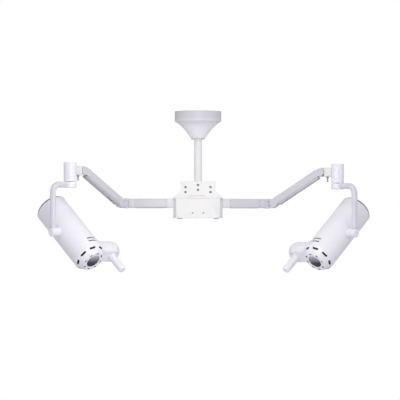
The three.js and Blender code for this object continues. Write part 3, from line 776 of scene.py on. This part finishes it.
def build_spring_channel(side, place, length):
    """The lower channel, with a slot for reaching the spring's adjuster."""
    body = f"{side}_spring_arm"
    start, end, w, low, rim = SPRING.inset, length - SPRING.inset, ARM.w, -ARM.h, SPRING.channel_rim
    leg, inside = w - SPRING.sheet, low + SPRING.sheet
    outline = [(-w, rim), (-w, low, 7), (w, low, 7), (w, rim), (leg, rim), (leg, inside, 4)]
    outline += [(-leg, inside, 4), (-leg, rim)]
    channel = extruded(f"{side}_spring_arm_channel", outline, start, end, steps=8)
    channel = united(channel, end_plates(start, end, low + 1, rim))
    slot = extruded("slot", oblong(26, 4, 3.9), low - 1, low + 4, "z")
    channel = carved(channel, [shifted(slot, (start + 60, 0, 0))])
    piece(softened(channel, 0.6, 50), DEEP_GREY, place, body, f"{side}_spring_channel")
    screws = [
        facing(pan_screw("screw"), (x, y, low), (0, 0, -1))
        for x in (start + 9, end - 9)
        for y in (-13, 13)
    ]
    piece(gathered(f"{side}_channel_screws", screws), STEEL, place, body)


def build_spring_pins(side, place, length):
    for end, x in (("pitch", 0), ("end", length)):
        pin = pivot_pin(f"{side}_{end}_pivot_pin", ARM.w - 1.7, "y", (-24, 18.3), x)
        piece(pin, STEEL, place, f"{side}_spring_arm", f"{side}_{end}_pin")


# ---- level block, swivel and brake

SWIVEL_R = 41
BRAKE_X, BRAKE_R = 46, 5


def build_level_block(side, place, reach):
    """The block that stays level: a tongue on the end pin, saddled against the swivel housing."""
    start, high, tongue, end_r = 31, 29, 11, 28
    knuckle = extruded(f"{side}_level_block", oblong(ARM.w, high, ARM.round), start, reach, steps=8)
    parts = [rod("end", end_r, -tongue, tongue, "y")]
    parts.append(block("tongue", (0, start + 1), (-tongue, tongue), (-high, high)))
    knuckle = softened(united(knuckle, parts), 1, 50)
    cutters = [rod("bore", SMALL_BORE, -tongue - 1, tongue + 1, "y")]
    cutters.append(rod("saddle", SWIVEL_R + 1, -80, 80, at=(reach, 0, 0), facets=FINE))
    cutters.append(rod("brake_bore", BRAKE_R + 0.6, -high - 2, -8, at=(BRAKE_X, 0, 0)))
    piece(carved(knuckle, cutters), PALE, place, f"{side}_level", f"{side}_end_knuckle")


def build_swivel(side, place, reach):
    """The upright drum, open below for the yoke's shaft, with a plugged dish on top."""
    body = f"{side}_level"
    r, low, top, bore, bore_top = SWIVEL_R, -71, 53, 14.6, -30
    profile = [(0, bore_top), (bore, bore_top), (bore, low, 1), (r, low, 1.2)]
    profile += groove(r, -47.5, -44.5, 1.5, 0.4) + groove(r, 44, 45, 0.8, 0.3) + [(r, top, 5), (0, top)]
    drum = carved(turned(f"{side}_swivel_drum", profile), [rod("dish", 9, top - 1, top + 1)])
    piece(shifted(drum, (reach, 0, 0)), WHITE, place, body, f"{side}_swivel_housing")
    plug = [(0, top - 0.9), (8.6, top - 0.9), (8.6, top + 0.2, 0.6), (0, top + 0.8)]
    plug = turned(f"{side}_swivel_top_plug", plug, MIDDLE)
    piece(shifted(plug, (reach, 0, 0)), TRIM, place, body)


def build_brake(side, place):
    """A knurled screw with a slotted tail."""
    r, tip, knob_top, knob_low, end = BRAKE_R, -10, -29.4, -38.3, -64
    knurl = [polar(8.5 if k % 2 else 7.9, 7.5 * k) for k in range(48)]
    knob = softened(extruded(f"{side}_brake_knob", knurl, knob_low, knob_top, "z"), 0.5, 60)
    shaft = turned("shaft", [(0, end), (r - 1, end), (r, end + 2, 0.5), (r, tip, 0.6), (0, tip)], MIDDLE)
    slot = block("slot", (-6, 6), (-0.7, 0.7), (end - 1, end + 2))
    screw = carved(united(knob, [shaft]), [slot])
    piece(shifted(screw, (BRAKE_X, 0, 0)), TRIM, place, f"{side}_brake", f"{side}_brake_screw")


# ---- yoke

YOKE = Sizes(r=19, out=150, drop=394, bend=50, exit=-92)
YOKE_HUB_R, FOOT_R = 41, 30


def build_yoke_hub(side, place):
    r, low, top, shaft, end = YOKE_HUB_R, -111, -74, 14, -32
    profile = [(0, low), (r, low, 5), (r, top, 1.5), (shaft, top), (shaft, end, 1.5), (0, end)]
    piece(turned(f"{side}_yoke_hub", profile), WHITE, place, f"{side}_yoke", f"{side}_yoke_collar")


def build_yoke_bow(side, place):
    """The bent tube, from the hub out and down to the foot."""
    out, bend, drop = YOKE.out, YOKE.bend, YOKE.drop
    path = [(36, YOKE.exit), (70, YOKE.exit)]
    path += [(out - bend + a, YOKE.exit - bend + b) for a, b in (polar(bend, d) for d in range(90, -1, -6))]
    path += [(out, -260), (out, 26 - drop)]
    tube = swept(f"{side}_yoke_bow", path, YOKE.r)
    cutters = [rod("saddle", YOKE_HUB_R + 1, -140, -40, facets=FINE)]
    cutters.append(rod("foot_room", FOOT_R + GAP, 100, 200, "x", (0, 0, -drop), FINE))
    piece(carved(tube, cutters), SATIN, place, f"{side}_yoke", f"{side}_yoke_tube")


def build_yoke_foot(side, place):
    """The round housing on the tilt axis, blind-bored for the lamp's spigot."""
    r, inner, floor, outer = FOOT_R, 131, 157, 169
    profile = [(0, floor), (PIN_BORE, floor), (PIN_BORE, inner, 0.6), (r, inner, 1.5)]
    profile += groove(r, 155.5, 156.5, 0.8, 0.3) + [(r, 160, 4), (22, outer, 5), (0, outer)]
    foot = turned(f"{side}_yoke_end", profile)
    foot = carved(foot, [extruded("hex", hexagon(5), outer - 3, outer + 1, "z")])
    foot = shifted(foot, (0, 0, -YOKE.drop), AXIS_TURNS["x"])
    piece(foot, WHITE, place, f"{side}_yoke", f"{side}_yoke_foot")


# ---- lamp

# A lamp looks along its own -Z. Its profiles are written with heights forward, and ahead() turns them.

LAMP = Sizes(r=104, wall=3.5, back=-241, cap_seam=-226, nose_seam=232, slots=252, front=284)
LOUVRE = Sizes(places=(172, 197), half_wide=4.6, half_angle=21.5)
LENS_OPENING = 46.5


def ahead(points):
    return [(p[0], -p[1], *p[2:]) for p in points]


def build_tilt_hub(side, place):
    """A flange saddled on the lamp's side, with a spigot out to the yoke's foot and a stub inside."""
    profile = [(0, 94), (31, 94), (28, 118, 10), (28, 130, 1.5), (12, 130), (12, 156, 1), (0, 156)]
    flange = shifted(turned(f"{side}_tilt_flange", profile), turn=AXIS_TURNS["x"])
    flange = carved(flange, [rod("lamp_room", LAMP.r + GAP, -60, 60, facets=LARGE)])
    flange = united(flange, [rod("stub", 20, 86, 112, "x")])
    piece(flange, WHITE, place, f"{side}_lamp", f"{side}_tilt_hub")


def louvre_cutters(place_ahead, middle):
    """A slot with round ends, run round the lamp."""
    half_wide = LOUVRE.half_wide
    last = LOUVRE.half_angle - math.degrees(half_wide / LAMP.r)
    angles = [last * (k / 12 - 1) for k in range(25)]
    outline = [polar(LAMP.r + 5, a) for a in angles]
    outline += [polar(LAMP.r - LAMP.wall - 4, a) for a in reversed(angles)]
    cutters = [extruded("slot", outline, -place_ahead - half_wide, -place_ahead + half_wide, "z")]
    for angle in (-last, last):
        slot_end = rod("slot_end", half_wide, 90, 112, "x", (0, 0, -place_ahead), SMALL)
        cutters.append(shifted(slot_end, turn=about_z(angle)))
    return [shifted(cutter, turn=about_z(middle)) for cutter in cutters]


def build_lamp_tube(side, place, hand):
    r, bore, back, front = LAMP.r, LAMP.r - LAMP.wall, LAMP.cap_seam + GAP, LAMP.nose_seam
    profile = ahead([(r, back, 0.8), (r, front, 0.8), (bore, front), (bore, back)])
    tube = turned(f"{side}_lamp_tube", profile, LARGE, ring=True)
    cutters = [rod("pivot_hole", 20.6, 60, 110, "x")]
    for slot in LOUVRE.places:
        cutters += louvre_cutters(slot, 90 * hand)
    piece(carved(tube, cutters), WHITE, place, f"{side}_lamp", f"{side}_lamp_body")


def build_rear_cap(side, place):
    """A dished cover with a rounded rim and three screws."""
    r, back, seam = LAMP.r, LAMP.back, LAMP.cap_seam
    outside = [(0, back + 2.5), (70, back + 2.5, 3), (76, back, 3), (r - 9, back, 6), (r, back + 11, 8)]
    inside = [(r, seam, 0.6), (r - 7, seam), (r - 7, back + 7, 3), (0, back + 7)]
    cap = turned(f"{side}_rear_cover", ahead(outside + inside), LARGE)
    piece(cap, SLATE, place, f"{side}_lamp", f"{side}_lamp_rear_cap")
    places = [(*polar(86, 30 + 120 * k), -back) for k in range(3)]
    screws = [facing(pan_screw("screw", 4.5), at, UP) for at in places]
    piece(gathered(f"{side}_rear_screws", screws), STEEL, place, f"{side}_lamp")


def nose_hole(name, shrink, low, high, k):
    """One of the eight small openings round the lens, or the black plug of painted shade behind it."""
    outline = oblong(5 - shrink, 8.5 - shrink, 4.9 - shrink)
    return shifted(shifted(extruded(name, outline, low, high, "z"), (63, 0, 0)), turn=about_z(45 * k))


def nose_slot(k):
    """One of the eight long slots in the nose's slope."""
    slot = extruded("slot", oblong(22, 6.6, 6.5), -14, 14)
    slot = shifted(slot, (93, 0, -LAMP.slots), Matrix.Rotation(math.radians(50), 4, "Y"))
    return shifted(slot, turn=about_z(45 * (k + 0.5)))


def build_nose(side, place):
    """The sloping front with its openings, and the black sheet and plugs of painted shade behind them, which
    stand for the shade inside the lamp.
    """
    body, front, start, opening = f"{side}_lamp", LAMP.front, LAMP.nose_seam + GAP, LENS_OPENING
    outside = [(LAMP.r, start, 0.6), (LAMP.r, 236, 6), (94, LAMP.slots, 16), (82, 270, 16), (71, 282, 4)]
    face = [(68, front, 1), (opening, front, 1.2), (opening, 281.4)]
    inside = [(57, 281.4), (57, 274), (66, 277, 3), (88, 249, 8), (96.5, 240, 4), (97, start)]
    nose = turned(f"{side}_slotted_nose", ahead(outside + face + inside), LARGE, ring=True)
    cutters = []
    for k in range(8):
        cutters += [nose_slot(k), nose_hole("hole", 0, -front - 2, 16 - front, k)]
    piece(carved(nose, cutters), WHITE, place, body, f"{side}_lamp_nose")

    # painted shade: black plugs behind the small holes, so that they read dark
    plugs = [nose_hole("plug", 0.2, 1 - front, 6 - front, k) for k in range(8)]
    piece(gathered(f"{side}_nose_hole_painted_shade", plugs), BLACK, place, body)

    # painted shade: a black sleeve behind the louvres and nose slots, so that they read dark
    outer = [(99.5, 118), (99.5, 228), (95, 235), (85, 246), (61, 273)]
    inner = [(60, 272.4), (84, 245), (94, 233.5), (98.5, 227), (98.5, 118)]
    piece(turned(f"{side}_slot_painted_shade_sheet", ahead(outer + inner), ring=True), BLACK, place, body)


def build_lens(side, place):
    body = f"{side}_lamp"
    r, edge_r, crown, edge, back = 52, 56, 282.6, 279.6, 275.8
    front = [(r * k / 12, crown - 2.6 * (k / 12) ** 2) for k in range(13)]
    rim = [(edge_r, edge, 0.4), (edge_r, back, 0.4), (0, back)]
    piece(turned(f"{side}_front_glass", ahead(front + rim)), GLASS_PAINTED_REFLECTION, place, body, f"{side}_lens")
    gasket = ahead([(44.2, 281), (46.2, 280.9), (46.2, 283.2, 0.6), (44.7, 283, 0.6)])
    piece(turned(f"{side}_lens_gasket", gasket, ring=True), TRIM, place, body)


def build_lamp_module(side, place):
    """The parabolic reflector, with the socket and bulb in its throat."""
    body = f"{side}_lamp"
    throat, flare, back, deep, wall = 14, 44, 150, 118, 2
    steps = [k / 24 for k in range(25)]
    inside = [(throat + flare * math.sqrt(t), back + deep * t) for t in steps]
    bowl = ahead(inside + [(r + wall, u) for r, u in reversed(inside)])
    bowl = turned(f"{side}_reflector_bowl", bowl, ring=True)
    piece(bowl, MIRROR, place, body, f"{side}_reflector")
    socket = ahead([(0, 128), (12, 128, 1), (12, 151, 1), (7, 151), (7, 157, 1), (0, 157)])
    piece(turned(f"{side}_bulb_socket", socket, MIDDLE), TRIM, place, body)
    bulb = ahead([(0, 157.3), (5, 157.3), (6, 162, 3), (6, 176, 5), (0, 182)])
    piece(turned(f"{side}_bulb", bulb, MIDDLE), DIODE, place, body)


# ---- focus handle

HANDLE = Sizes(out=202, tip=215, r=65, place=187, front=236, bore_deep=30)
SLOT_AZIMUTH = 73  # degrees from the handle's own direction round to the slot in its end


def crescent(name, inner, outer, wide, hand):
    """A short arc down the ball-shaped end, on its upper outer side."""
    angles = [-62 + 44 * k / 16 for k in range(17)]
    arc = [polar(outer, a) for a in angles] + [polar(inner, a) for a in reversed(angles)]
    turn = about_z(180 - SLOT_AZIMUTH * hand)
    return shifted(extruded(name, arc, -wide / 2, wide / 2, "y"), (-HANDLE.tip, 0, -HANDLE.place), turn)


def build_handle(side, place, hand):
    """A round arm with a ball end, cut flat in front, bored for the grip and slotted round its end."""
    body, r, tip, front = f"{side}_lamp", HANDLE.r, HANDLE.tip, HANDLE.front
    ball = [(a, tip + b) for a, b in (polar(r, 180 * k / 32) for k in range(16))]
    profile = [(0, 80), (74, 80), (72, 100), (r + 0.5, 112, 9), (r, 140), *ball, (0, tip + r)]
    sideways = Matrix.Rotation(-math.pi / 2, 4, "Y")
    housing = shifted(turned(f"{side}_handle_arm", profile), (0, 0, -HANDLE.place), sideways)
    housing = carved(housing, [block("flat", (-320, -60), (-90, 90), (-400, -front))])
    housing = softened(housing, 12, 30, 6)
    cutters = [rod("lamp_room", LAMP.r + GAP, -400, 0, facets=LARGE)]
    cutters.append(rod("bore", PIN_BORE, -front - 1, HANDLE.bore_deep - front, at=(-HANDLE.out, 0, 0)))
    cutters.append(crescent("slot", 47, 80, 9, hand))
    piece(carved(housing, cutters), WHITE, place, body, f"{side}_handle_housing")
    # painted shade: a black strip down the slot stands for the shade inside it
    piece(crescent(f"{side}_handle_slot_painted_shade", 47.3, 52.3, 8.6, hand), BLACK, place, body)


def build_grip(side, place):
    """The ring on the handle's flat face, and the grip that turns in it."""
    r, end_r, shaft, spigot, start, end = 25, 24, 12, 210, 242, 368
    low, high = HANDLE.front + GAP, start - 0.5
    ring = [(PIN_BORE, low), (32, low, 0.6), (28, low + 2.2, 3), (26, high, 0.5), (PIN_BORE, high, 0.6)]
    ring = shifted(turned(f"{side}_grip_socket", ahead(ring), ring=True), (-HANDLE.out, 0, 0))
    piece(ring, WHITE, place, f"{side}_lamp", f"{side}_handle_socket")

    profile = [(0, spigot), (shaft, spigot, 1), (shaft, start), (r, start, 1)]
    profile += groove(r, start + 8, start + 9, 0.6, 0.4) + [(end_r, end, 11), (0, end)]
    grip = shifted(turned(f"{side}_sterile_grip", ahead(profile)), (-HANDLE.out, 0, 0))
    piece(grip, WHITE, place, f"{side}_handle", f"{side}_handle_grip")


# ---- assembly


def build_centre():
    build_ceiling_plate()
    build_canopy()
    build_collar()
    build_pole()
    build_hub_bracket()
    build_hub_core()
    build_hub_plugs()
    for side, hand in HANDS.items():
        build_hub_pin(side, hand)


def build_arm(side, places):
    build_extension_barrel(side, places["extension"])
    build_extension_tube(side, places["extension"], distance(side, "hub_yaw", "elbow_yaw"))
    build_elbow_fork(side, places["fork"])
    build_elbow_block(side, places["elbow"], distance(side, "elbow_yaw", "arm_pitch"))

    spring_length = distance(side, "arm_pitch", "level")
    for build in (build_spring_cover, build_spring_channel, build_spring_pins):
        build(side, places["spring"], spring_length)

    level_reach = distance(side, "level", "swivel")
    build_level_block(side, places["level"], level_reach)
    build_swivel(side, places["level"], level_reach)
    build_brake(side, places["level"])


def build_yoke(side, place):
    for build in (build_yoke_hub, build_yoke_bow, build_yoke_foot):
        build(side, place)


def build_lamp(side, place, hand):
    build_tilt_hub(side, place)
    build_lamp_tube(side, place, hand)
    for build in (build_rear_cap, build_nose, build_lens, build_lamp_module):
        build(side, place)
    build_handle(side, place, hand)
    build_grip(side, place)


def finish_kept_nodes():
    """The CAD nodes that stay in sight get a finish of their own."""
    for side in HANDS:
        cartridge = frame["nodes"][f"{side}_spring_cartridge"]
        cartridge.data.materials.clear()
        cartridge.data.materials.append(BLACK)


# ---- studio (metres)

AMBIENT = 0.66
LAVENDER = (0.93, 0.90, 1.0)
LIGHTS = [  # name, place, aim, size, power and colour
    ("key", (0, -2.0, -0.35), (0, 0, -0.75), 1.2, 12, (1, 1, 1)),
    ("top", (0.2, -3, 2.2), (0, 0, -0.6), 2.5, 20, (1, 1, 1)),
    ("right", (4.5, -2.5, -0.4), (0.6, 0, -0.7), 2.0, 12, LAVENDER),
    ("left", (-4.5, -3, -0.2), (-0.6, 0, -0.7), 2.0, 7, LAVENDER),
]
CAMERA = Sizes(place=(0.013, -20, -1.0), lens=276.93, sensor=36, tilt_up=1.213)  # far off, nearly level
FLOOR = Sizes(r=3060, low=-2760, top=-2720)  # millimetres


def area_light(name, place, aim, size, power, colour):
    data = bpy.data.lights.new(name, "AREA")
    data.shape = "DISK"
    data.size = size
    data.energy = power
    data.color = colour
    light = linked(name, data)
    light.location = place
    light.rotation_euler = (Vector(aim) - Vector(place)).to_track_quat("-Z", "Y").to_euler()


def build_world():
    """White where the camera looks past the light, and a soft gradient for everything that it lights."""
    world = bpy.data.worlds.new("studio")
    bpy.context.scene.world = world
    world.use_nodes = True
    tree = world.node_tree
    plain = tree.nodes["Background"]
    set_inputs(plain, {"Color": (1, 1, 1, 1), "Strength": 1})
    split = tree.nodes.new("ShaderNodeSeparateXYZ")
    tree.links.new(coordinates(tree, "Generated"), split.inputs["Vector"])
    lift = tree.nodes.new("ShaderNodeMapRange")
    set_inputs(lift, {"From Min": -1})
    tree.links.new(split.outputs["Z"], lift.inputs["Value"])
    soft = tree.nodes.new("ShaderNodeBackground")
    set_inputs(soft, {"Strength": AMBIENT})
    shade = ramp(tree, lift.outputs["Result"], (0.72, 0.70, 0.93), (1, 1, 1), 0, 1)
    tree.links.new(shade, soft.inputs["Color"])
    seen = tree.nodes.new("ShaderNodeLightPath").outputs["Is Camera Ray"]
    mix = tree.nodes.new("ShaderNodeMixShader")
    tree.links.new(seen, mix.inputs["Fac"])
    tree.links.new(soft.outputs["Background"], mix.inputs[1])
    tree.links.new(plain.outputs["Background"], mix.inputs[2])
    tree.links.new(mix.outputs["Shader"], tree.nodes["World Output"].inputs["Surface"])


def build_floor():
    r, low, top = FLOOR.r, FLOOR.low, FLOOR.top
    floor = turned("studio_floor", [(0, low), (r - 60, low), (r, low + 30, 30), (r, top), (0, top)])
    material, tree, shader = new_material("floor_paint")
    tone = ramp(tree, noise(tree, 3, 3), (0.82, 0.815, 0.86), (0.86, 0.855, 0.90))
    tree.links.new(tone, shader.inputs["Base Color"])
    set_inputs(shader, {"Roughness": 0.7})
    floor.data.materials.append(material)


def build_camera():
    data = bpy.data.cameras.new("camera")
    data.sensor_width = CAMERA.sensor
    data.lens = CAMERA.lens
    data.clip_end = 100
    camera = linked("camera", data)
    camera.location = CAMERA.place
    camera.rotation_euler = (math.radians(90 + CAMERA.tilt_up), 0, 0)
    bpy.context.scene.camera = camera


def build_studio():
    build_camera()
    build_world()
    build_floor()
    for light in LIGHTS:
        area_light(*light)
    bpy.context.scene.view_settings.view_transform = "Standard"


build_studio()
build_centre()
for side, hand in HANDS.items():
    places = side_places(side)
    build_arm(side, places)
    build_yoke(side, places["yoke"])
    build_lamp(side, places["lamp"], hand)
finish_kept_nodes()
